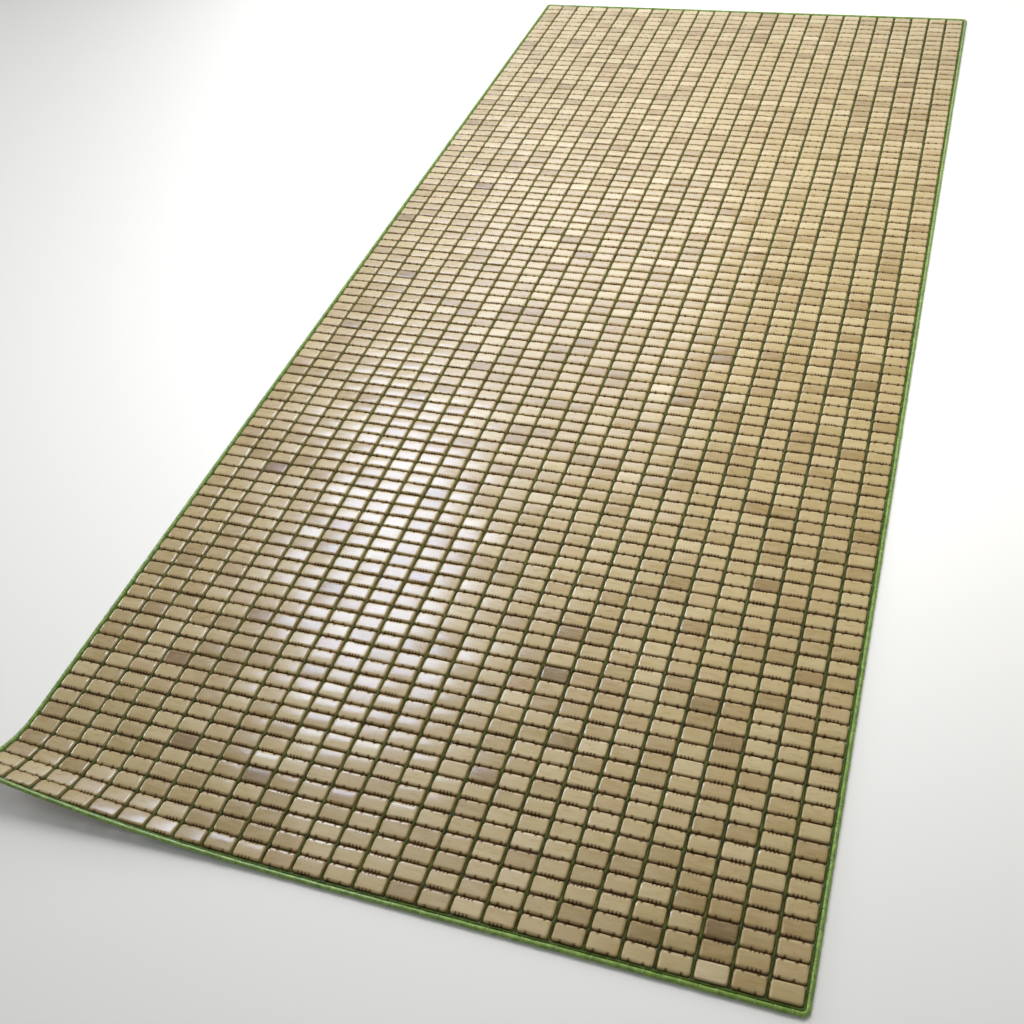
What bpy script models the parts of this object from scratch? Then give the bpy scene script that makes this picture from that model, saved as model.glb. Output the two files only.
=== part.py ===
"""Bamboo tile sleeping mat, lying flat with its near left corner curled up.

Small bamboo tiles lie in columns along the mat's length. Green cords run between the columns.
A thin dark cord and then a thicker bright one go right round the edge. Metres, +Z up, +Y towards
the far end. The origin is on the floor, in the middle of the mat.
"""

import math

import bmesh
import bpy

# Tile field
COLUMNS = 26
ROWS = 101
TILE_WIDTH = 0.0316
COLUMN_GAP = 0.0030
ROW_PITCH = 0.0198
ROW_GAP = 0.0014
TILE_EDGE_HEIGHT = 0.0046
TILE_CROWN = 0.0009

# Stringing cords, one in each gap between two columns
CLEARANCE = 0.0003
CORD_DIAMETER = COLUMN_GAP - 2 * CLEARANCE
CORD_HEIGHT = 0.0024
CORD_SIDES_SETTING = 1

# Edge cords: a thin one next to the tiles and a thicker one outside it, looser along the two ends
EDGE_CORD_LIFT = 0.0001
END_SLACK = 0.0006
INNER_CORD_DIAMETER = 0.0024
INNER_BEND_RADIUS = 0.0015
INNER_BEND_STEPS = 2
INNER_SIDES_SETTING = 1
OUTER_CORD_DIAMETER = 0.0044
OUTER_BEND_RADIUS = 0.0055
OUTER_BEND_STEPS = 4
OUTER_SIDES_SETTING = 2

# Curled corner: how high it stands, and how far the curl reaches along each edge. Where it lifts a
# column's end more than the parting lift, that end is a solid of its own.
CURL_HEIGHT = 0.036
CURL_REACH_X = 0.390
CURL_REACH_Y = 0.100
CURL_PARTING_LIFT = 0.007
CURL_CORD_STEPS = 3
CURL_EDGE_COLUMNS = 2

COLUMN_PITCH = TILE_WIDTH + COLUMN_GAP
FIELD_WIDTH = COLUMNS * COLUMN_PITCH - COLUMN_GAP
FIELD_LENGTH = ROWS * ROW_PITCH - ROW_GAP
LEFT = -FIELD_WIDTH / 2
NEAR = -FIELD_LENGTH / 2
FAR = FIELD_LENGTH / 2

COLOURS = {
    # name: (red, green, blue, roughness)
    "bamboo": (0.39, 0.29, 0.15, 0.38),
    "stringing_cord": (0.035, 0.085, 0.018, 0.35),
    "edge_cord": (0.10, 0.24, 0.04, 0.28),
}


def curl_share(x, y):
    """How far into the curl a point of the flat mat lies: 0 outside it, 1 at the tiles' corner."""
    return max(0.0, 1.0 - (x - LEFT) / CURL_REACH_X - (y - NEAR) / CURL_REACH_Y)


def curled(x, y, z):
    """Where a point of the flat mat goes when the corner curls up.

    The mat rises with the square of the share, so the edge is drawn in by what the slope costs."""
    share = curl_share(x, y)
    steepest = 2 * CURL_HEIGHT / CURL_REACH_Y
    drawn_in = steepest**2 * CURL_REACH_Y / 6 * share**3
    tilt = math.atan(steepest * share)
    return (
        x,
        y + drawn_in + z * math.sin(tilt),
        CURL_HEIGHT * share**2 + z * math.cos(tilt),
    )


def clear_scene():
    for old in list(bpy.data.objects):
        bpy.data.objects.remove(old, do_unlink=True)


def make_collection(name):
    collection = bpy.data.collections.new(name)
    bpy.context.scene.collection.children.link(collection)
    return collection


def make_material(name):
    red, green, blue, roughness = COLOURS[name]
    material = bpy.data.materials.new(name)
    material.use_nodes = True
    shader = material.node_tree.nodes["Principled BSDF"]
    shader.inputs["Base Color"].default_value = (red, green, blue, 1.0)
    shader.inputs["Roughness"].default_value = roughness
    shader.inputs["Metallic"].default_value = 0.0
    return material


def tile_column(name, left, first_row, end_row, material, collection):
    """The tiles of one column from one row up to another, each with a low crown, as one solid."""
    near_y = NEAR + first_row * FIELD_LENGTH / ROWS
    far_y = NEAR + end_row * FIELD_LENGTH / ROWS
    if first_row > 0:
        near_y += CLEARANCE / 2
    if end_row < ROWS:
        far_y -= CLEARANCE / 2
    bm = bmesh.new()
    bmesh.ops.create_grid(bm, x_segments=1, y_segments=end_row - first_row, size=0.5)
    bmesh.ops.scale(bm, vec=(TILE_WIDTH, far_y - near_y, 1.0), verts=bm.verts)
    middle = (left + TILE_WIDTH / 2, (near_y + far_y) / 2, 0.0)
    bmesh.ops.translate(bm, vec=middle, verts=bm.verts)
    raised = bmesh.ops.extrude_face_region(bm, geom=list(bm.faces))["geom"]
    top_verts = [part for part in raised if isinstance(part, bmesh.types.BMVert)]
    bmesh.ops.translate(bm, vec=(0.0, 0.0, TILE_EDGE_HEIGHT), verts=top_verts)
    bmesh.ops.recalc_face_normals(bm, faces=bm.faces)
    clean_underside(bm, near_y, far_y)
    tops = [face for face in bm.faces if face.normal.z > 0.5]
    bmesh.ops.poke(bm, faces=tops, offset=TILE_CROWN)
    for vert in bm.verts:
        vert.co = curled(*vert.co)
    mesh = bpy.data.meshes.new(name)
    bm.to_mesh(mesh)
    bm.free()
    mesh.materials.append(material)
    column = bpy.data.objects.new(name, mesh)
    collection.objects.link(column)
    return column


def clean_underside(bm, near_y, far_y):
    """Takes the row lines out of the flat underside and the sides, and leaves them in the curl."""

    def is_flat_row_line(edge):
        first, second = edge.verts
        at_an_end = min(abs(first.co.y - near_y), abs(first.co.y - far_y)) < ROW_PITCH / 2
        along = abs(first.co.y - second.co.y) > ROW_PITCH / 2
        on_top = min(first.co.z, second.co.z) > TILE_EDGE_HEIGHT / 2
        left = min(first.co.x, second.co.x)
        return not (at_an_end or along or on_top or curl_share(left, first.co.y) > 0)

    lines = [edge for edge in bm.edges if is_flat_row_line(edge)]
    bmesh.ops.dissolve_edges(bm, edges=lines, use_verts=True)


def cord(name, points, diameter, sides_setting, closed, material, collection):
    """A round cord along the points, given as the flat mat has them."""
    curve = bpy.data.curves.new(name, "CURVE")
    curve.dimensions = "3D"
    curve.bevel_depth = diameter / 2
    curve.bevel_resolution = sides_setting
    curve.use_fill_caps = True
    spline = curve.splines.new("POLY")
    spline.points.add(len(points) - 1)
    for place, point in zip(spline.points, points):
        place.co = (*curled(*point), 1.0)
    spline.use_cyclic_u = closed
    curve.materials.append(material)
    line = bpy.data.objects.new(name, curve)
    collection.objects.link(line)
    return line


def stringing_route(x):
    """Straight along the mat, with extra points only where the curl bends it."""
    start = NEAR - CLEARANCE
    reach = CURL_REACH_Y * curl_share(x, start)
    steps = CURL_CORD_STEPS if reach > 0 else 0
    stations = [start + reach * step / steps for step in range(steps)]
    if steps:
        stations.append(start + reach)
    else:
        stations.append(start)
    stations.append(FAR + CLEARANCE)
    return [(x, y, CORD_HEIGHT) for y in stations]


def edge_route(diameter, side_offset, end_offset, bend_radius, bend_steps):
    """Right round the tiles, at one distance from their sides and another from their ends."""
    height = diameter / 2 + EDGE_CORD_LIFT
    half_x = FIELD_WIDTH / 2 + side_offset
    half_y = FIELD_LENGTH / 2 + end_offset
    arc_x = half_x - bend_radius
    arc_y = half_y - bend_radius

    def corner(side_x, side_y, first_angle):
        angles = [
            math.radians(first_angle + 90 * step / bend_steps)
            for step in range(bend_steps + 1)
        ]
        return [
            (
                side_x * arc_x + bend_radius * math.cos(angle),
                side_y * arc_y + bend_radius * math.sin(angle),
                height,
            )
            for angle in angles
        ]

    curl_columns = int(CURL_REACH_X / COLUMN_PITCH)
    near_run = [
        (LEFT + column * COLUMN_PITCH, -half_y, height)
        for column in range(CURL_EDGE_COLUMNS, curl_columns + 1, CURL_EDGE_COLUMNS)
    ]
    curl_rows = math.ceil(CURL_REACH_Y / ROW_PITCH)
    left_run = [(-half_x, NEAR + row * ROW_PITCH, height) for row in range(curl_rows, 0, -1)]
    return (
        corner(-1, -1, 180)
        + near_run
        + corner(1, -1, 270)
        + corner(1, 1, 0)
        + corner(-1, 1, 90)
        + left_run
    )


clear_scene()
mat = make_collection("bamboo_sleeping_mat")
materials = {name: make_material(name) for name in COLOURS}

for index in range(COLUMNS):
    left = LEFT + index * COLUMN_PITCH
    corner_share = curl_share(left, NEAR)
    curled_rows = 0
    if CURL_HEIGHT * corner_share**2 > CURL_PARTING_LIFT:
        curled_rows = math.ceil(CURL_REACH_Y * corner_share / ROW_PITCH)
        tile_column(
            f"curled_tiles_{index + 1:02d}",
            left,
            0,
            curled_rows,
            materials["bamboo"],
            mat,
        )
    tile_column(
        f"tile_column_{index + 1:02d}",
        left,
        curled_rows,
        ROWS,
        materials["bamboo"],
        mat,
    )

for index in range(1, COLUMNS):
    cord(
        f"stringing_cord_{index:02d}",
        stringing_route(LEFT + index * COLUMN_PITCH - COLUMN_GAP / 2),
        CORD_DIAMETER,
        CORD_SIDES_SETTING,
        False,
        materials["stringing_cord"],
        mat,
    )

inner_side_offset = CLEARANCE + INNER_CORD_DIAMETER / 2
inner_end_offset = inner_side_offset + END_SLACK
cord(
    "inner_edge_cord",
    edge_route(
        INNER_CORD_DIAMETER,
        inner_side_offset,
        inner_end_offset,
        INNER_BEND_RADIUS,
        INNER_BEND_STEPS,
    ),
    INNER_CORD_DIAMETER,
    INNER_SIDES_SETTING,
    True,
    materials["stringing_cord"],
    mat,
)

cord_spacing = INNER_CORD_DIAMETER / 2 + CLEARANCE + OUTER_CORD_DIAMETER / 2
cord(
    "edge_cord",
    edge_route(
        OUTER_CORD_DIAMETER,
        inner_side_offset + cord_spacing,
        inner_end_offset + cord_spacing + CLEARANCE,
        OUTER_BEND_RADIUS,
        OUTER_BEND_STEPS,
    ),
    OUTER_CORD_DIAMETER,
    OUTER_SIDES_SETTING,
    True,
    materials["edge_cord"],
    mat,
)
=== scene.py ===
import math

import bmesh
import bpy
import numpy as np
from mathutils import Matrix, Quaternion, Vector


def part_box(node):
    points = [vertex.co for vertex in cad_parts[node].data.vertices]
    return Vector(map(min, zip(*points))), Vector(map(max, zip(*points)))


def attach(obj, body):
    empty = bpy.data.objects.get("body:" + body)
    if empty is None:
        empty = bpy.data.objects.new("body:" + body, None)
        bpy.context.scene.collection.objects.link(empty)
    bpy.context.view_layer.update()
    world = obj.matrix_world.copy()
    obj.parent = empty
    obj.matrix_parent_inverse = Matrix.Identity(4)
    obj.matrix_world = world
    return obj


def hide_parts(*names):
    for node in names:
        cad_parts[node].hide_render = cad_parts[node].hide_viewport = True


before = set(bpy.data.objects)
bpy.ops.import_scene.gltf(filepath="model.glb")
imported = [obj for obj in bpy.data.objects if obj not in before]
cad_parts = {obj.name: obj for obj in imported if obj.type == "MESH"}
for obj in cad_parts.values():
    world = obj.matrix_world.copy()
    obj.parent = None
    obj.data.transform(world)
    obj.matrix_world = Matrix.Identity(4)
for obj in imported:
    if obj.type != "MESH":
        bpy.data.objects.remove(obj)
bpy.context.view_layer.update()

# Camera: a phone held over the mat's near right corner, looking down its length. The picture was
# cropped from a wider one, so the lens is shifted a little to one side.
VIEW_POINT = (0.453, -1.341, 1.028)
VIEW_YAW = math.radians(21.85)
VIEW_PITCH = math.radians(47.26)
VIEW_ROLL = math.radians(7.39)
LENS_MM = 38.25
LENS_SHIFT = -0.0859
CLIP_START = 0.05
CLIP_END = 60.0

lens = bpy.data.cameras.new("phone_camera")
lens.lens = LENS_MM
lens.shift_x = LENS_SHIFT
lens.clip_start = CLIP_START
lens.clip_end = CLIP_END
camera = bpy.data.objects.new("phone_camera", lens)
bpy.context.scene.collection.objects.link(camera)
camera.matrix_world = (
    Matrix.Translation(VIEW_POINT)
    @ Matrix.Rotation(VIEW_YAW, 4, "Z")
    @ Matrix.Rotation(math.pi / 2 - VIEW_PITCH, 4, "X")
    @ Matrix.Rotation(-VIEW_ROLL, 4, "Z")
)
bpy.context.scene.camera = camera
bpy.context.scene.view_settings.view_transform = "Standard"

# Light: soft white lamps light the colours and leave the end by the camera darker. The sheen on the
# varnish is cool daylight from a high window on the far left, with paler panes and a wall past it,
# from a wide side window that picks out the left rims, and from a pale ceiling for the near rims.
MAIN_LAMP_PLACE = (0.14, 0.12, 1.3)
MAIN_LAMP_FACES = (0.14, 0.12, 0.0)
MAIN_LAMP_SIZE = (1.0, 1.0)
MAIN_LAMP_POWER = 19.6
FAR_LAMP_PLACE = (-0.52, 1.5, 1.05)
FAR_LAMP_FACES = (-0.1, 0.64, 0.0)
FAR_LAMP_SIZE = (1.3, 1.2)
FAR_LAMP_POWER = 17.2
LOW_LAMP_PLACE = (-4.0, -0.2, 1.1)
LOW_LAMP_FACES = (0.0, -0.4, 0.0)
LOW_LAMP_SIZE = (2.0, 1.2)
LOW_LAMP_POWER = 42.0
LAMP_COLOUR = (1.0, 0.985, 0.955)
WINDOW_PLACE = (-1.19, 0.74, 1.8)
WINDOW_SIZE = (0.50, 1.36)
WINDOW_POWER = 30.0
WINDOW_TURN = math.radians(14)
PANES_PLACE = (-0.95, 2.14, 1.8)
PANES_SIZE = (1.20, 1.90)
PANES_POWER = 25.0
WINDOW_COLOUR = (0.60, 0.71, 1.0)
WALL_PLACE = (-0.9, 3.6, 1.6)
WALL_FACES = (0.0, 0.6, 0.2)
WALL_SIZE = (4.0, 2.2)
WALL_COLOUR = (0.90, 0.96, 1.0)
WALL_POWER = 26.0
SIDE_PLACE = (-5.9, 0.63, 2.9)
SIDE_FACES = (0.2, -0.7, 0.0)
SIDE_SIZE = (3.4, 1.1)
SIDE_COLOUR = (0.95, 0.98, 1.0)
SIDE_POWER = 105.0
CEILING_PLACE = (-0.6, -0.65, 2.0)
CEILING_SIZE = (1.2, 1.1)
CEILING_POWER = 6.0
ROOM_COLOUR = (0.98, 0.99, 1.0)
ROOM_STRENGTH = 0.25


def soft_light(name, place, faces, size, colour, power, for_sheen, turn=0.0):
    """A rectangular light turned to face a place, for the sheen alone or for the colours alone."""
    facing = (Vector(faces) - Vector(place)).to_track_quat("-Z", "Y")
    light = bpy.data.lights.new(name, "AREA")
    light.shape = "RECTANGLE"
    light.size, light.size_y = size
    light.color = colour
    light.energy = power
    lamp = bpy.data.objects.new(name, light)
    lamp.location = place
    lamp.rotation_euler = (facing @ Quaternion((0.0, 0.0, 1.0), turn)).to_euler()
    lamp.visible_diffuse = not for_sheen
    lamp.visible_glossy = for_sheen
    lamp.visible_camera = False
    bpy.context.scene.collection.objects.link(lamp)


def below(place):
    """The spot on the floor under a place."""
    return (place[0], place[1], 0.0)


soft_light(
    "main_lamp",
    MAIN_LAMP_PLACE,
    MAIN_LAMP_FACES,
    MAIN_LAMP_SIZE,
    LAMP_COLOUR,
    MAIN_LAMP_POWER,
    False,
)
soft_light(
    "far_lamp",
    FAR_LAMP_PLACE,
    FAR_LAMP_FACES,
    FAR_LAMP_SIZE,
    LAMP_COLOUR,
    FAR_LAMP_POWER,
    False,
)
soft_light(
    "low_lamp",
    LOW_LAMP_PLACE,
    LOW_LAMP_FACES,
    LOW_LAMP_SIZE,
    LAMP_COLOUR,
    LOW_LAMP_POWER,
    False,
)
soft_light(
    "window",
    WINDOW_PLACE,
    below(WINDOW_PLACE),
    WINDOW_SIZE,
    WINDOW_COLOUR,
    WINDOW_POWER,
    True,
    WINDOW_TURN,
)
soft_light(
    "pale_panes",
    PANES_PLACE,
    below(PANES_PLACE),
    PANES_SIZE,
    WINDOW_COLOUR,
    PANES_POWER,
    True,
)
soft_light("far_wall", WALL_PLACE, WALL_FACES, WALL_SIZE, WALL_COLOUR, WALL_POWER, True)
soft_light("side_window", SIDE_PLACE, SIDE_FACES, SIDE_SIZE, SIDE_COLOUR, SIDE_POWER, True)
soft_light(
    "pale_ceiling",
    CEILING_PLACE,
    below(CEILING_PLACE),
    CEILING_SIZE,
    SIDE_COLOUR,
    CEILING_POWER,
    True,
)
room = bpy.data.worlds.new("pale_room")
room.use_nodes = True
room.node_tree.nodes["Background"].inputs["Color"].default_value = (*ROOM_COLOUR, 1.0)
room.node_tree.nodes["Background"].inputs["Strength"].default_value = ROOM_STRENGTH
bpy.context.scene.world = room

# Floor: a plain pale sheet under the mat, wide enough to fill every view. It isn't part of the mat.
FLOOR_HALF_WIDTH = 9.0
FLOOR_COLOUR = (0.93, 0.93, 0.92)
FLOOR_ROUGHNESS = 0.55

bm = bmesh.new()
bmesh.ops.create_grid(bm, x_segments=1, y_segments=1, size=FLOOR_HALF_WIDTH)
floor_mesh = bpy.data.meshes.new("floor")
bm.to_mesh(floor_mesh)
bm.free()
floor_paint = bpy.data.materials.new("pale_floor")
floor_paint.use_nodes = True
floor_shader = floor_paint.node_tree.nodes["Principled BSDF"]
floor_shader.inputs["Base Color"].default_value = (*FLOOR_COLOUR, 1.0)
floor_shader.inputs["Roughness"].default_value = FLOOR_ROUGHNESS
floor_mesh.materials.append(floor_paint)
floor = bpy.data.objects.new("floor", floor_mesh)
bpy.context.scene.collection.objects.link(floor)

# Bamboo tiles: 26 columns of 101 blocks cut from carbonised bamboo strip, rounded over on top and
# varnished. Both long edges are notched where the threads run through, and because the blocks are
# threaded by hand, no two of them sit quite alike. The near left corner of the mat curls up.
ROWS = 101
ROW_GAP = 0.0014
TILE_EDGE_HEIGHT = 0.0046
TILE_CORNER_RADIUS = 0.0028
TILE_CORNER_SEGMENTS = 2
TILE_RIM_RADIUS = 0.0018
TILE_RIM_SEGMENTS = 2
TILE_END_ROUNDING = 0.0030
TILE_FOOT = 0.0005
NOTCH_WIDTH = 0.0040
NOTCH_DEPTH = 0.0010
NOTCH_DROP = 0.0003
NOTCH_MARGIN = 0.0013
NOTCH_CUTS = (-1 / 2, -1 / 5, 1 / 5, 1 / 2)
NOTCH_FLOOR_REACH = 1 / 4
NOTCH_PLACES = ((-0.25, 0.20), (-0.22, 0.24), (-0.12, 0.31))
COMB_WIDTH = 0.0032
COMB_PITCH = 0.0040
COMB_DEPTH = 0.0009
COMB_NOTCHES = 4
COMB_STARTS = (-2.4, -1.0)
CROWNS_AND_SHARES = ((0.00025, 0.26), (0.00060, 0.40), (0.00095, 0.34))
NOTCHED_SHARE = 0.58
COMBED_SHARE = 0.34
PLAIN_SHARE = 0.08
SLIVER = 0.00001
RIM_MIN_SLOPE = 0.3
RIM_MIN_LEVEL = 0.2
RIM_MAX_TURN = 0.1
UPPER_LEVEL = 0.9
TOP_LEVEL = 0.95
# Painted shade: how far a tile's walls, rims and notch floors are darkened towards brown for their
# shade
WALL_FOOT_SHADE = 0.62
LONG_RIM_SHADE = 0.36
SHORT_RIM_SHADE = 0.08
NOTCH_TOP_SHADE = 0.40
CURL_HEIGHT = 0.036
CURL_REACH_X = 0.390
CURL_REACH_Y = 0.100
TILE_SLIDE = 0.00012
TILE_ROW_SLIDE = 0.00022
TILE_TURN = math.radians(0.45)
TILE_TILT = math.radians(0.9)
TILE_SIZE_SPREAD = 0.008

flat_low, flat_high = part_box("tile_column_26")
tile_width = flat_high.x - flat_low.x
near_edge = flat_low.y
far_edge = flat_high.y
row_pitch = (far_edge - near_edge + ROW_GAP) / ROWS
tile_length = row_pitch - ROW_GAP
left_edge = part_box("tile_column_01")[0].x
right_edge = flat_high.x
column_names = sorted(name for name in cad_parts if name.startswith("tile_column_"))


def rim_geometry(bm):
    """The rounded rims along the two long edges, which a notch cuts."""
    rims = [
        face
        for face in bm.faces
        if abs(face.normal.y) > RIM_MIN_SLOPE
        and face.normal.z > RIM_MIN_LEVEL
        and abs(face.normal.x) < RIM_MAX_TURN
    ]
    edges = list({edge for face in rims for edge in face.edges})
    verts = list({vert for face in rims for vert in face.verts})
    return rims + edges + verts


def cut_tile(crown, notches, notch_width, notch_depth):
    """One block of bamboo, centred over the origin, with marks for the shade painted on its walls,
    rims and notches.
    """
    half_length = tile_length / 2
    rim_start = TILE_EDGE_HEIGHT - TILE_RIM_RADIUS
    bm = bmesh.new()
    bmesh.ops.create_cube(bm, size=1.0)
    bmesh.ops.translate(bm, vec=(0.0, 0.0, 0.5), verts=bm.verts)
    bmesh.ops.scale(bm, vec=(tile_width, tile_length, TILE_EDGE_HEIGHT), verts=bm.verts)
    uprights = [e for e in bm.edges if abs(e.verts[0].co.z - e.verts[1].co.z) > SLIVER]
    bmesh.ops.bevel(
        bm,
        geom=uprights,
        offset=TILE_CORNER_RADIUS,
        segments=TILE_CORNER_SEGMENTS,
        profile=0.5,
        affect="EDGES",
        material=-1,
    )
    rim = [e for e in bm.edges if min(v.co.z for v in e.verts) > TILE_EDGE_HEIGHT - SLIVER]
    bmesh.ops.bevel(
        bm,
        geom=rim,
        offset=TILE_RIM_RADIUS,
        segments=TILE_RIM_SEGMENTS,
        profile=0.5,
        affect="EDGES",
        material=-1,
    )
    # The rim reaches further in at the two ends, and the walls lean out to the foot
    for vert in bm.verts:
        inward = tile_width / 2 - abs(vert.co.x)
        if vert.co.z > rim_start + SLIVER and inward < TILE_END_ROUNDING:
            stretched = min(inward * TILE_END_ROUNDING / TILE_RIM_RADIUS, TILE_END_ROUNDING)
            vert.co.x = math.copysign(tile_width / 2 - stretched, vert.co.x)
    bm.normal_update()
    for vert in bm.verts:
        if vert.co.z < SLIVER:
            vert.co.x += math.copysign(TILE_FOOT, vert.co.x)
            vert.co.y += math.copysign(TILE_FOOT, vert.co.y)
    # Three lines across the top let it bend to the crown
    notch_line = half_length - TILE_RIM_RADIUS - NOTCH_MARGIN
    for line in (-notch_line, 0.0, notch_line):
        tops = [face for face in bm.faces if face.normal.z > UPPER_LEVEL]
        edges = list({edge for face in tops for edge in face.edges})
        verts = list({vert for face in tops for vert in face.verts})
        bmesh.ops.bisect_plane(
            bm,
            geom=tops + edges + verts,
            dist=SLIVER,
            plane_co=(0.0, line, 0.0),
            plane_no=(0.0, 1.0, 0.0),
        )
    for vert in bm.verts:
        if vert.co.z > rim_start - SLIVER:
            vert.co.z += crown * (1.0 - (vert.co.y / half_length) ** 2)
    bm.normal_update()
    # Each notch is cut into both rims, and its floor is drawn in and down once the tile is marked
    for x in notches:
        for cut in NOTCH_CUTS:
            bmesh.ops.bisect_plane(
                bm,
                geom=rim_geometry(bm),
                dist=SLIVER,
                plane_co=(x + cut * notch_width, 0.0, 0.0),
                plane_no=(1.0, 0.0, 0.0),
            )
    notched = [
        vert
        for vert in bm.verts
        if vert.co.z > rim_start - SLIVER
        and abs(vert.co.y) > half_length - TILE_RIM_RADIUS - SLIVER
        and any(abs(vert.co.x - x) < NOTCH_FLOOR_REACH * notch_width for x in notches)
    ]
    # Painted shade: walls, rims and notches are marked to darken to brown, for the shade between
    # tiles and in notches
    shade_marks = bm.loops.layers.float.new("tile_shade")
    for face in bm.faces:
        on_top = face.normal.z > TOP_LEVEL
        for loop in face.loops:
            corner = loop.vert.co
            rounded = max(0.0, 1.0 - (corner.z - rim_start) / TILE_RIM_RADIUS)
            if on_top:
                shade_mark = 0.0
            elif loop.vert in notched:
                shade_mark = min(1.0, NOTCH_TOP_SHADE + (1.0 - NOTCH_TOP_SHADE) * rounded)
            elif corner.z < rim_start - SLIVER:
                shade_mark = WALL_FOOT_SHADE
            elif abs(face.normal.y) > abs(face.normal.x):
                shade_mark = LONG_RIM_SHADE * rounded
            else:
                shade_mark = SHORT_RIM_SHADE * rounded
            loop[shade_marks] = shade_mark
    for vert in notched:
        if vert.co.z > rim_start + SLIVER:
            vert.co.y -= math.copysign(notch_depth, vert.co.y)
            vert.co.z -= NOTCH_DROP
    mesh = bpy.data.meshes.new("cut_tile")
    bm.to_mesh(mesh)
    bm.free()
    points = np.zeros(len(mesh.vertices) * 3)
    mesh.vertices.foreach_get("co", points)
    shades = np.zeros(len(mesh.loops))
    mesh.attributes["tile_shade"].data.foreach_get("value", shades)
    faces = [tuple(face.vertices) for face in mesh.polygons]
    bpy.data.meshes.remove(mesh)
    return points.reshape(-1, 3), faces, shades


def curl_place(x, y):
    """Where a tile's middle goes in the mat's curl, and how the tile is turned there.

    The mat rises with the square of the share, so the slope draws its near edge in."""
    share = max(0.0, 1.0 - (x - left_edge) / CURL_REACH_X - (y - near_edge) / CURL_REACH_Y)
    steepest = 2 * CURL_HEIGHT / CURL_REACH_Y
    drawn_in = steepest**2 * CURL_REACH_Y / 6 * share**3
    tilt = math.atan(steepest * share)
    up = Vector((0.0, math.sin(tilt), math.cos(tilt)))
    across = Vector((1.0, 0.0, -2 * CURL_HEIGHT * share / CURL_REACH_X)).normalized()
    along = up.cross(across).normalized()
    up = across.cross(along)
    turned = Matrix((across, along, up)).transposed()
    return np.array((x, y + drawn_in, CURL_HEIGHT * share**2)), np.array(turned)


two_notches = [[share * tile_width for share in pair] for pair in NOTCH_PLACES]
combs = [[COMB_PITCH * (step + start) for step in range(COMB_NOTCHES)] for start in COMB_STARTS]
cuts = []
cut_shares = []
for crown, crown_share in CROWNS_AND_SHARES:
    for places in two_notches:
        cuts.append(cut_tile(crown, places, NOTCH_WIDTH, NOTCH_DEPTH))
        cut_shares.append(crown_share * NOTCHED_SHARE / len(two_notches))
    for places in combs:
        cuts.append(cut_tile(crown, places, COMB_WIDTH, COMB_DEPTH))
        cut_shares.append(crown_share * COMBED_SHARE / len(combs))
    cuts.append(cut_tile(crown, (), NOTCH_WIDTH, NOTCH_DEPTH))
    cut_shares.append(crown_share * PLAIN_SHARE)
cut_shares = np.array(cut_shares) / sum(cut_shares)

TILE_SCORCHED = (0.170, 0.104, 0.038)
TILE_BROWN = (0.325, 0.233, 0.086)
TILE_KHAKI = (0.463, 0.363, 0.168)
TILE_PALE = (0.545, 0.450, 0.240)
TILE_BLEACHED = (0.620, 0.530, 0.335)
TILE_RUDDY = (0.370, 0.228, 0.098)
# The walls' brown is partly the cut sides' own colour and partly painted shade; the notches' dark
# brown is painted shade
WALL_BROWN_AND_SHADE = (0.250, 0.157, 0.066)
NOTCH_SHADE_BROWN = (0.036, 0.019, 0.008)
GRAIN_STAIN = (0.72, 0.60, 0.44)
MOTTLE_BLOOM = (0.70, 0.62, 0.42)
GRAIN_SCALE = (45.0, 1500.0, 1500.0)
GRAIN_DETAIL = 4.0
MOTTLE_SCALE = (45.0, 160.0, 160.0)
MOTTLE_DETAIL = 2.0
SPECK_SCALE = (420.0, 420.0, 420.0)
SPECK_DETAIL = 0.0
NOISE_ROUGHNESS = 0.6
TILE_SHIFT = 9.0
FIBRE_STRENGTH = 0.22
FIBRE_HEIGHT = 0.0002
COAT_ROUGHNESS = 0.14

# Each fit stretches one range, its first two numbers, to another, its last two
GRAIN_FIT = (0.30, 0.72, 0.30, 0.0)
MOTTLE_FIT = (0.50, 0.78, 0.0, 0.12)
SPECK_FIT = (0.80, 0.84, 0.0, 0.35)
WALL_SHADE_FIT = (0.0, 0.5, 0.0, 1.0)
NOTCH_SHADE_FIT = (0.5, 1.0, 0.0, 1.0)
TOP_ROUGHNESS_FIT = (0.3, 0.7, 0.24, 0.36)
WALL_ROUGHNESS_FIT = (0.0, 1.0, 0.0, 0.35)
COAT_FIT = (0.2, 0.9, 0.6, 0.0)
SHINE_FIT = (0.3, 1.0, 0.5, 0.1)

bamboo = bpy.data.materials.new("carbonised_bamboo")
bamboo.use_nodes = True
nodes = bamboo.node_tree.nodes
links = bamboo.node_tree.links
shader = nodes["Principled BSDF"]
tone = nodes.new("ShaderNodeAttribute")
tone.attribute_name = "tile_tone"
tone_parts = nodes.new("ShaderNodeSeparateColor")
links.new(tone.outputs["Color"], tone_parts.inputs["Color"])
shade = nodes.new("ShaderNodeAttribute")
shade.attribute_name = "tile_shade"

# Each tile's own colour, from a scorched brown to bleached
ramp = nodes.new("ShaderNodeValToRGB")
stops = (
    (0.0, TILE_SCORCHED),
    (0.25, TILE_BROWN),
    (0.5, TILE_KHAKI),
    (0.75, TILE_PALE),
    (1.0, TILE_BLEACHED),
)
while len(ramp.color_ramp.elements) < len(stops):
    ramp.color_ramp.elements.new(0.5)
for element, (position, paint) in zip(ramp.color_ramp.elements, stops):
    element.position = position
    element.color = (*paint, 1.0)
links.new(tone_parts.outputs["Red"], ramp.inputs["Fac"])
ruddy = nodes.new("ShaderNodeMix")
ruddy.data_type = "RGBA"
ruddy.inputs["B"].default_value = (*TILE_RUDDY, 1.0)
links.new(tone_parts.outputs["Green"], ruddy.inputs["Factor"])
links.new(ramp.outputs["Color"], ruddy.inputs["A"])

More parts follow.
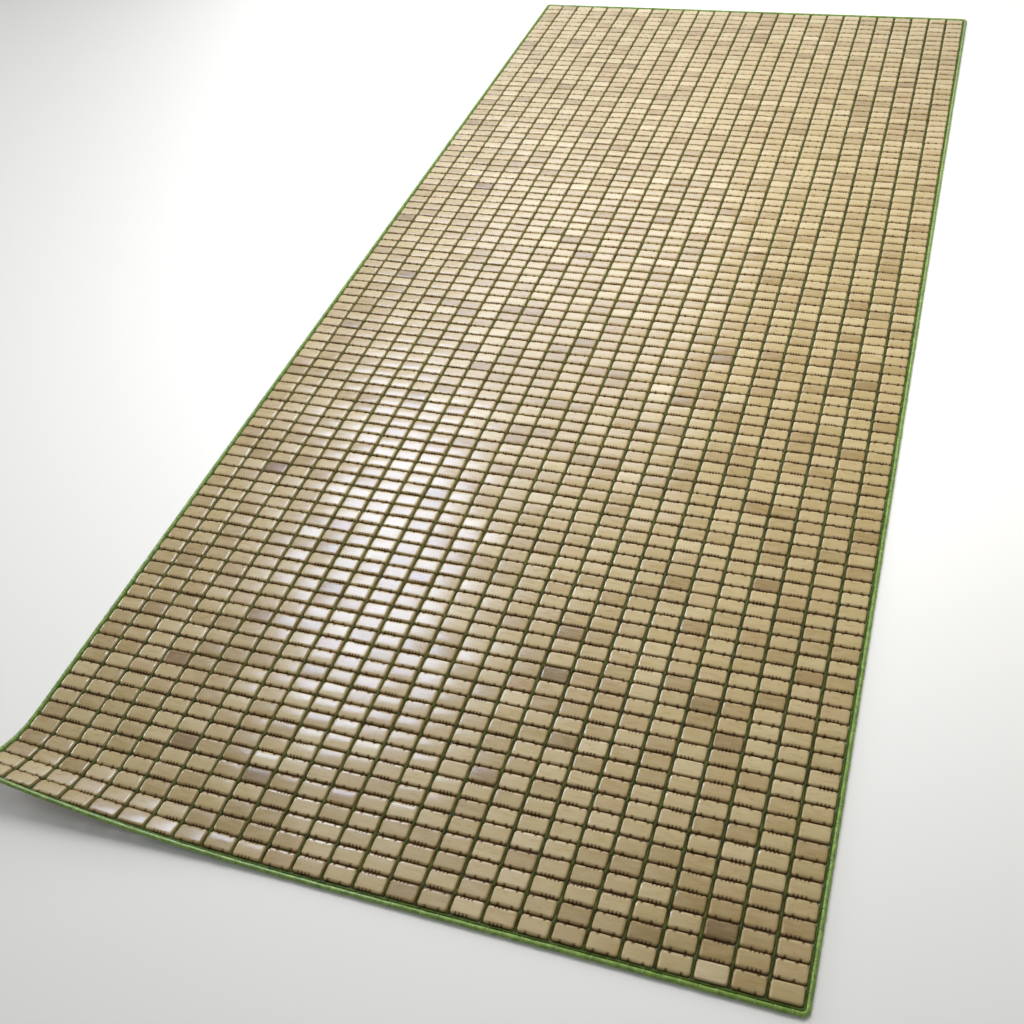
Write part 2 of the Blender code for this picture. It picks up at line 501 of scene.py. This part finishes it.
# Grain: fine fibres along the tile, shifted on each tile so that they never run across a gap
own_place = nodes.new("ShaderNodeTexCoord")
apart = nodes.new("ShaderNodeVectorMath")
apart.operation = "SCALE"
apart.inputs["Scale"].default_value = TILE_SHIFT
links.new(tone.outputs["Color"], apart.inputs[0])
shifted = nodes.new("ShaderNodeVectorMath")
shifted.operation = "ADD"
links.new(own_place.outputs["Object"], shifted.inputs[0])
links.new(apart.outputs["Vector"], shifted.inputs[1])


def stretched_noise(scale, detail):
    """Noise on the tile's own place, stretched by a scale for each axis."""
    stretch = nodes.new("ShaderNodeVectorMath")
    stretch.operation = "MULTIPLY"
    stretch.inputs[1].default_value = scale
    links.new(shifted.outputs["Vector"], stretch.inputs[0])
    noise = nodes.new("ShaderNodeTexNoise")
    noise.inputs["Scale"].default_value = 1.0
    noise.inputs["Detail"].default_value = detail
    noise.inputs["Roughness"].default_value = NOISE_ROUGHNESS
    links.new(stretch.outputs["Vector"], noise.inputs["Vector"])
    return noise.outputs["Fac"]


def fitted(value, from_low, from_high, to_low, to_high):
    """A value stretched from one range to another, and kept inside it."""
    fit = nodes.new("ShaderNodeMapRange")
    fit.inputs["From Min"].default_value = from_low
    fit.inputs["From Max"].default_value = from_high
    fit.inputs["To Min"].default_value = to_low
    fit.inputs["To Max"].default_value = to_high
    links.new(value, fit.inputs["Value"])
    return fit.outputs["Result"]


def blended(kind, factor, first, second):
    """Two colours blended, where each is a socket or a plain colour."""
    mix = nodes.new("ShaderNodeMix")
    mix.data_type = "RGBA"
    mix.blend_type = kind
    for socket, value in (("Factor", factor), ("A", first), ("B", second)):
        if isinstance(value, bpy.types.NodeSocket):
            links.new(value, mix.inputs[socket])
        elif socket == "Factor":
            mix.inputs[socket].default_value = value
        else:
            mix.inputs[socket].default_value = (*value, 1.0)
    return mix.outputs["Result"]


grain = stretched_noise(GRAIN_SCALE, GRAIN_DETAIL)
mottle = stretched_noise(MOTTLE_SCALE, MOTTLE_DETAIL)
specks = stretched_noise(SPECK_SCALE, SPECK_DETAIL)
shade_mark = shade.outputs["Fac"]
colour = ruddy.outputs["Result"]
colour = blended("MULTIPLY", fitted(grain, *GRAIN_FIT), colour, GRAIN_STAIN)
colour = blended("SCREEN", fitted(mottle, *MOTTLE_FIT), colour, MOTTLE_BLOOM)
colour = blended("MIX", fitted(specks, *SPECK_FIT), colour, TILE_SCORCHED)
# Painted shade: walls and rims darken to brown and the notches nearly to black, as far as they are
# marked
colour = blended("MIX", fitted(shade_mark, *WALL_SHADE_FIT), colour, WALL_BROWN_AND_SHADE)
colour = blended("MIX", fitted(shade_mark, *NOTCH_SHADE_FIT), colour, NOTCH_SHADE_BROWN)
links.new(colour, shader.inputs["Base Color"])
roughness = nodes.new("ShaderNodeMath")
roughness.operation = "ADD"
links.new(fitted(mottle, *TOP_ROUGHNESS_FIT), roughness.inputs[0])
links.new(fitted(shade_mark, *WALL_ROUGHNESS_FIT), roughness.inputs[1])
links.new(roughness.outputs["Value"], shader.inputs["Roughness"])
fibres = nodes.new("ShaderNodeBump")
fibres.inputs["Strength"].default_value = FIBRE_STRENGTH
fibres.inputs["Distance"].default_value = FIBRE_HEIGHT
links.new(grain, fibres.inputs["Height"])
links.new(fibres.outputs["Normal"], shader.inputs["Normal"])
links.new(fitted(shade_mark, *COAT_FIT), shader.inputs["Coat Weight"])
links.new(fitted(shade_mark, *SHINE_FIT), shader.inputs["Specular IOR Level"])
shader.inputs["Coat Roughness"].default_value = COAT_ROUGHNESS

# Each tile's own lightness, ruddiness, place, turn, tilt and size are drawn at random
TILE_SEED = 59
COLUMN_DRIFT = 0.0003
COLUMN_DRIFT_TURN = 1.7
MEAN_LIGHTNESS = 0.50
LIGHTNESS_SPREAD = 0.115
LIGHTNESS_LIMITS = (0.02, 0.98)
DARK_TILE_SHARE = 0.025
DARK_TILE_DROP = 0.19
MEAN_RUDDINESS = 0.06
RUDDINESS_SPREAD = 0.12
RUDDINESS_LIMITS = (0.0, 0.6)
MOST_SPREADS = 2.0
REVERSED_SHARE = 0.5
TILE_SHARP_ANGLE = math.radians(42)

rng = np.random.default_rng(TILE_SEED)
for column_index, node_name in enumerate(column_names):
    low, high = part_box(node_name)
    middle = (low.x + high.x) / 2
    column_drift = COLUMN_DRIFT * math.sin(COLUMN_DRIFT_TURN * column_index)
    kinds = rng.choice(len(cuts), size=ROWS, p=cut_shares)
    lightness = rng.normal(MEAN_LIGHTNESS, LIGHTNESS_SPREAD, ROWS)
    lightness -= DARK_TILE_DROP * (rng.random(ROWS) < DARK_TILE_SHARE)
    lightness = np.clip(lightness, *LIGHTNESS_LIMITS)
    ruddiness = rng.normal(MEAN_RUDDINESS, RUDDINESS_SPREAD, ROWS)
    ruddiness = np.clip(ruddiness, *RUDDINESS_LIMITS)
    seeds = rng.random(ROWS)
    slides = rng.normal(0.0, 1.0, (ROWS, 2)).clip(-MOST_SPREADS, MOST_SPREADS)
    slides *= (TILE_SLIDE, TILE_ROW_SLIDE)
    turns = rng.normal(0.0, TILE_TURN, ROWS)
    turns = turns.clip(-MOST_SPREADS * TILE_TURN, MOST_SPREADS * TILE_TURN)
    tilts = rng.normal(0.0, TILE_TILT, (ROWS, 2))
    tilts = tilts.clip(-MOST_SPREADS * TILE_TILT, MOST_SPREADS * TILE_TILT)
    sizes = 1.0 - TILE_SIZE_SPREAD * rng.random((ROWS, 3))
    reversed_ends = rng.random(ROWS) < REVERSED_SHARE
    all_points = []
    all_faces = []
    all_shades = []
    all_tones = []
    count = 0
    for row in range(ROWS):
        points, faces, shades = cuts[kinds[row]]
        half_turn = math.pi if reversed_ends[row] else 0.0
        settle = (
            Matrix.Rotation(tilts[row][0], 3, "X")
            @ Matrix.Rotation(tilts[row][1], 3, "Y")
            @ Matrix.Rotation(turns[row] + half_turn, 3, "Z")
        )
        laid = (points * sizes[row]) @ np.array(settle).T
        laid[:, 2] -= laid[:, 2].min()
        laid[:, 0] += slides[row][0]
        laid[:, 1] += slides[row][1] + column_drift
        y = near_edge + row * row_pitch + tile_length / 2
        origin, turned = curl_place(middle, y)
        placed = laid @ turned.T + origin
        placed[:, 2] -= min(0.0, placed[:, 2].min())
        all_points.append(placed)
        all_faces.extend(tuple(corner + count for corner in face) for face in faces)
        all_shades.append(shades)
        all_tones.append(
            np.tile((lightness[row], ruddiness[row], seeds[row], 1.0), (len(points), 1))
        )
        count += len(points)
    mesh = bpy.data.meshes.new(f"bamboo_{node_name}")
    mesh.from_pydata(np.concatenate(all_points), [], all_faces)
    tones = mesh.attributes.new("tile_tone", "FLOAT_COLOR", "POINT")
    tones.data.foreach_set("color", np.concatenate(all_tones).ravel())
    shade_marks = mesh.attributes.new("tile_shade", "FLOAT", "CORNER")
    shade_marks.data.foreach_set("value", np.concatenate(all_shades))
    mesh.shade_smooth()
    mesh.set_sharp_from_angle(angle=TILE_SHARP_ANGLE)
    mesh.materials.append(bamboo)
    tiles = bpy.data.objects.new(f"bamboo_{node_name}", mesh)
    bpy.context.scene.collection.objects.link(tiles)
    even = tiles.modifiers.new("even_shading", "WEIGHTED_NORMAL")
    even.keep_sharp = True
    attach(tiles, "root")
    curled_name = node_name.replace("tile_column", "curled_tiles")
    if curled_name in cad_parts:
        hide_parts(node_name, curled_name)
    else:
        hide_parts(node_name)

# Stringing cords: green plastic cords that run the mat's length, one in every gap between two
# columns. The tiles' sides squeeze them flat, they swell where four rounded corners meet, and at
# both ends they dip down to the edge cords.
CORD_HEIGHT = 0.0022
CORD_WIDTH = 0.0027
CORD_SWELL = 1.80
CORD_SWELL_SHARES = (0.7, 1.1)
CORD_SWELL_REACH = 0.0030
CORD_RISE = (0.0004, 0.0009)
CORD_OVERHANG = 0.0014
CORD_DIP = 0.0010
CORD_END_SHARE = 0.8
CORD_SIDES_SETTING = 2
CORD_SEED = 25
CORD_SHARP_ANGLE = math.radians(60)
# The cords' green is darker than the edge cord's, partly painted shade for the gaps they lie in
CORD_DEEP_GREEN = (0.035, 0.043, 0.008)
CORD_LIGHT_GREEN = (0.090, 0.114, 0.021)
CORD_ROUGHNESS = 0.42
CORD_PATCH_SCALE = 120.0
CORD_SHINE = 0.15
PATCH_DETAIL = 3.0
PATCH_STOPS = (0.35, 0.68)

cord_names = sorted(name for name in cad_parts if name.startswith("stringing_cord_"))


def curled(x, y, z):
    """Where a point of the flat mat goes when the corner curls up."""
    origin, turned = curl_place(x, y)
    return origin + turned[:, 2] * z


def tube(name, route, radii, thickness, sides_setting, closed):
    """A round cord through the route's points, with its own thickness at each."""
    curve = bpy.data.curves.new(name, "CURVE")
    curve.dimensions = "3D"
    curve.bevel_depth = thickness / 2
    curve.bevel_resolution = sides_setting
    curve.use_fill_caps = not closed
    spline = curve.splines.new("POLY")
    spline.points.add(len(route) - 1)
    for point, place, radius in zip(spline.points, route, radii):
        point.co = (*place, 1.0)
        point.radius = radius
    spline.use_cyclic_u = closed
    rough = bpy.data.objects.new(name, curve)
    bpy.context.scene.collection.objects.link(rough)
    depsgraph = bpy.context.evaluated_depsgraph_get()
    mesh = bpy.data.meshes.new_from_object(rough.evaluated_get(depsgraph))
    bpy.data.objects.remove(rough)
    bpy.data.curves.remove(curve)
    bm = bmesh.new()
    bm.from_mesh(mesh)
    bmesh.ops.remove_doubles(bm, verts=bm.verts, dist=SLIVER)
    bm.to_mesh(mesh)
    bm.free()
    mesh.name = name
    mesh.shade_smooth()
    mesh.set_sharp_from_angle(angle=CORD_SHARP_ANGLE)
    made = bpy.data.objects.new(name, mesh)
    bpy.context.scene.collection.objects.link(made)
    return made


def plastic(name, deep, light, roughness, patch_scale, shine):
    """A tinted plastic with deeper and lighter patches."""
    material = bpy.data.materials.new(name)
    material.use_nodes = True
    tree = material.node_tree
    surface = tree.nodes["Principled BSDF"]
    coordinates = tree.nodes.new("ShaderNodeTexCoord")
    patches = tree.nodes.new("ShaderNodeTexNoise")
    patches.inputs["Scale"].default_value = patch_scale
    patches.inputs["Detail"].default_value = PATCH_DETAIL
    tree.links.new(coordinates.outputs["Object"], patches.inputs["Vector"])
    tint = tree.nodes.new("ShaderNodeValToRGB")
    for element, position, paint in zip(tint.color_ramp.elements, PATCH_STOPS, (deep, light)):
        element.position = position
        element.color = (*paint, 1.0)
    tree.links.new(patches.outputs["Fac"], tint.inputs["Fac"])
    tree.links.new(tint.outputs["Color"], surface.inputs["Base Color"])
    surface.inputs["Roughness"].default_value = roughness
    surface.inputs["Specular IOR Level"].default_value = shine
    return material


cord_plastic = plastic(
    "green_cord_in_painted_shade",
    CORD_DEEP_GREEN,
    CORD_LIGHT_GREEN,
    CORD_ROUGHNESS,
    CORD_PATCH_SCALE,
    CORD_SHINE,
)

cord_rng = np.random.default_rng(CORD_SEED)
for node_name in cord_names:
    low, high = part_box(node_name)
    x = (low.x + high.x) / 2
    stations = [near_edge - CORD_OVERHANG, near_edge + CORD_OVERHANG]
    heights = [CORD_HEIGHT - CORD_DIP, CORD_HEIGHT]
    radii = [CORD_END_SHARE, 1.0]
    for row in range(1, ROWS):
        crossing = near_edge + row * row_pitch - ROW_GAP / 2
        swell = 1.0 + (CORD_SWELL - 1.0) * cord_rng.uniform(*CORD_SWELL_SHARES)
        stations += [crossing - CORD_SWELL_REACH, crossing, crossing + CORD_SWELL_REACH]
        heights += [CORD_HEIGHT, CORD_HEIGHT + cord_rng.uniform(*CORD_RISE), CORD_HEIGHT]
        radii += [1.0, swell, 1.0]
    stations += [far_edge - CORD_OVERHANG, far_edge + CORD_OVERHANG]
    heights += [CORD_HEIGHT, CORD_HEIGHT - CORD_DIP]
    radii += [1.0, CORD_END_SHARE]
    route = [curled(x, y, z) for y, z in zip(stations, heights)]
    cord = tube(f"green_{node_name}", route, radii, CORD_WIDTH, CORD_SIDES_SETTING, False)
    cord.data.materials.append(cord_plastic)
    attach(cord, "root")
    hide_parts(node_name)

# Inner edge cord: one more thin green cord, laid right round against the tiles and half hidden
# between them and the thicker cord outside it. Its green is darker than the edge cord's, partly
# painted shade, so it shows as a dark green valley.
INNER_THICKNESS = 0.0030
INNER_LIFT = 0.0001
INNER_OUTWARD = 0.00015
INNER_BEND_RADIUS = 0.0015
INNER_BEND_STEPS = 4
INNER_SIDES_SETTING = 2
INNER_DEEP_GREEN = (0.038, 0.064, 0.009)
INNER_LIGHT_GREEN = (0.088, 0.140, 0.022)
INNER_PATCH_SCALE = 140.0
EDGE_POINT_PITCH = 0.0066

inner_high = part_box("inner_edge_cord")[1]
inner_half_x = (right_edge + inner_high.x) / 2 + INNER_OUTWARD
inner_half_y = inner_high.y - (inner_high.x - inner_half_x)
inner_height = INNER_THICKNESS / 2 + INNER_LIFT


def straight_run(start, end):
    """Points along a straight side, without its two ends."""
    steps = max(1, round(math.dist(start, end) / EDGE_POINT_PITCH))
    shares = [step / steps for step in range(1, steps)]
    return [tuple(a + (b - a) * share for a, b in zip(start, end)) for share in shares]


def ring_route(half_x, half_y, bend_radius, bend_steps):
    """Points right round the mat, anticlockwise, with its four corners rounded."""
    bends = []
    for side_x, side_y, first_angle in ((-1, -1, 180), (1, -1, 270), (1, 1, 0), (-1, 1, 90)):
        bend = []
        for step in range(bend_steps + 1):
            angle = math.radians(first_angle + 90 * step / bend_steps)
            bend.append(
                (
                    side_x * (half_x - bend_radius) + bend_radius * math.cos(angle),
                    side_y * (half_y - bend_radius) + bend_radius * math.sin(angle),
                )
            )
        bends.append(bend)
    outline = []
    for bend, next_bend in zip(bends, bends[1:] + bends[:1]):
        outline += bend + straight_run(bend[-1], next_bend[0])
    return outline


outline = ring_route(inner_half_x, inner_half_y, INNER_BEND_RADIUS, INNER_BEND_STEPS)
route = [curled(x, y, inner_height) for x, y in outline]
inner_cord = tube(
    "green_inner_edge_cord",
    route,
    [1.0] * len(route),
    INNER_THICKNESS,
    INNER_SIDES_SETTING,
    True,
)
inner_plastic = plastic(
    "valley_cord_in_painted_shade",
    INNER_DEEP_GREEN,
    INNER_LIGHT_GREEN,
    CORD_ROUGHNESS,
    INNER_PATCH_SCALE,
    CORD_SHINE,
)
inner_cord.data.materials.append(inner_plastic)
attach(inner_cord, "root")
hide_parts("inner_edge_cord")

# Edge cord: one thicker cord of brighter green plastic, laid right round the tiles outside the thin
# one, with its corners rounded. It gives a little between the threads that hold it.
EDGE_THICKNESS = 0.0050
EDGE_LIFT = 0.0001
EDGE_BEND_RADIUS = 0.0055
EDGE_BEND_STEPS = 8
EDGE_SIDES_SETTING = 3
EDGE_WAVE = 0.0003
EDGE_SHORT_WAVE_TURN = 0.9
EDGE_LONG_WAVE_TURN = 0.37
EDGE_SWELL = 0.03
EDGE_SWELL_TURN = 1.3
EDGE_DEEP_GREEN = (0.130, 0.222, 0.034)
EDGE_LIGHT_GREEN = (0.262, 0.405, 0.082)
EDGE_ROUGHNESS = 0.20
EDGE_PATCH_SCALE = 160.0
EDGE_SHINE = 0.5

edge_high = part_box("edge_cord")[1]
edge_radius = EDGE_THICKNESS / 2
edge_half_x = edge_high.x - edge_radius
edge_half_y = edge_high.y - edge_radius
edge_height = edge_radius + EDGE_LIFT
outline = ring_route(edge_half_x, edge_half_y, EDGE_BEND_RADIUS, EDGE_BEND_STEPS)
route = []
swells = []
for index, (x, y) in enumerate(outline):
    short_wave = math.sin(EDGE_SHORT_WAVE_TURN * index)
    long_wave = math.sin(EDGE_LONG_WAVE_TURN * index)
    wave = EDGE_WAVE * short_wave * long_wave
    along_side = abs(y) < edge_half_y - EDGE_BEND_RADIUS
    along_end = abs(x) < edge_half_x - EDGE_BEND_RADIUS
    x += math.copysign(wave, x) * along_side
    y += math.copysign(wave, y) * along_end
    route.append(curled(x, y, edge_height))
    swells.append(1.0 + EDGE_SWELL * math.sin(EDGE_SWELL_TURN * index))
edge_cord = tube("green_edge_cord", route, swells, EDGE_THICKNESS, EDGE_SIDES_SETTING, True)
edge_plastic = plastic(
    "bright_green_cord",
    EDGE_DEEP_GREEN,
    EDGE_LIGHT_GREEN,
    EDGE_ROUGHNESS,
    EDGE_PATCH_SCALE,
    EDGE_SHINE,
)
edge_cord.data.materials.append(edge_plastic)
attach(edge_cord, "root")
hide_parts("edge_cord")

# Thread loops: the tiles' nylon threads come out of each tile and loop over the edge cord, two to
# a tile along the long sides, and two to a column along the ends. They draw tight when tied off.
THREAD_THICKNESS = 0.0008
THREAD_SIDES = 5
THREAD_STEPS = 7
THREAD_SINK = 0.45
THREAD_START = math.radians(-35)
THREAD_SWEEP = math.radians(235)
THREAD_SLIDE = 0.0005
THREAD_SKEW = math.radians(7)
THREAD_PLACES = (-0.25, 0.25)
THREAD_SEED = 4
THREAD_DEEP_GREEN = (0.21, 0.30, 0.10)
THREAD_LIGHT_GREEN = (0.40, 0.48, 0.24)
THREAD_ROUGHNESS = 0.28
THREAD_PATCH_SCALE = 260.0
THREAD_SHINE = 0.5

bm = bmesh.new()
circle = bmesh.ops.create_circle(bm, segments=THREAD_SIDES, radius=THREAD_THICKNESS / 2)["verts"]
thread_line = edge_radius + THREAD_THICKNESS * (0.5 - THREAD_SINK)
bmesh.ops.translate(bm, verts=circle, vec=(thread_line, 0.0, 0.0))
bmesh.ops.rotate(bm, verts=circle, matrix=Matrix.Rotation(-THREAD_START, 3, "Y"))
bmesh.ops.spin(
    bm,
    geom=bm.verts[:] + bm.edges[:],
    axis=(0.0, -1.0, 0.0),
    angle=THREAD_SWEEP,
    steps=THREAD_STEPS,
)
bmesh.ops.recalc_face_normals(bm, faces=bm.faces)
loop_points = np.array([tuple(vert.co) for vert in bm.verts])
loop_faces = [tuple(vert.index for vert in face.verts) for face in bm.faces]
bm.free()

loop_rng = np.random.default_rng(THREAD_SEED)
loop_places = []
for row in range(ROWS):
    for share in THREAD_PLACES:
        y = near_edge + row * row_pitch + tile_length / 2 + share * row_pitch
        for side in (-1, 1):
            loop_places.append((side * edge_half_x, y, (side, 0)))
for node_name in column_names:
    low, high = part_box(node_name)
    for share in THREAD_PLACES:
        x = (low.x + high.x) / 2 + share * tile_width
        for side in (-1, 1):
            loop_places.append((x, side * edge_half_y, (0, side)))

all_points = []
all_faces = []
for x, y, outward in loop_places:
    slide = loop_rng.uniform(-THREAD_SLIDE, THREAD_SLIDE)
    skew = loop_rng.uniform(-THREAD_SKEW, THREAD_SKEW)
    out = Vector((*outward, 0.0))
    flat = Matrix((out, Vector((-out.y, out.x, 0.0)), (0.0, 0.0, 1.0))).transposed()
    flat = np.array(flat @ Matrix.Rotation(skew, 3, "Z"))
    x -= out.y * slide
    y += out.x * slide
    origin, turned = curl_place(x, y)
    middle = origin + turned[:, 2] * edge_height
    first = len(all_points) * len(loop_points)
    all_faces += [tuple(corner + first for corner in face) for face in loop_faces]
    all_points.append(loop_points @ flat.T @ turned.T + middle)
mesh = bpy.data.meshes.new("thread_loops")
mesh.from_pydata(np.concatenate(all_points), [], all_faces)
mesh.shade_smooth()
loops = bpy.data.objects.new("thread_loops", mesh)
bpy.context.scene.collection.objects.link(loops)
thread_plastic = plastic(
    "pale_green_thread",
    THREAD_DEEP_GREEN,
    THREAD_LIGHT_GREEN,
    THREAD_ROUGHNESS,
    THREAD_PATCH_SCALE,
    THREAD_SHINE,
)
mesh.materials.append(thread_plastic)
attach(loops, "root")
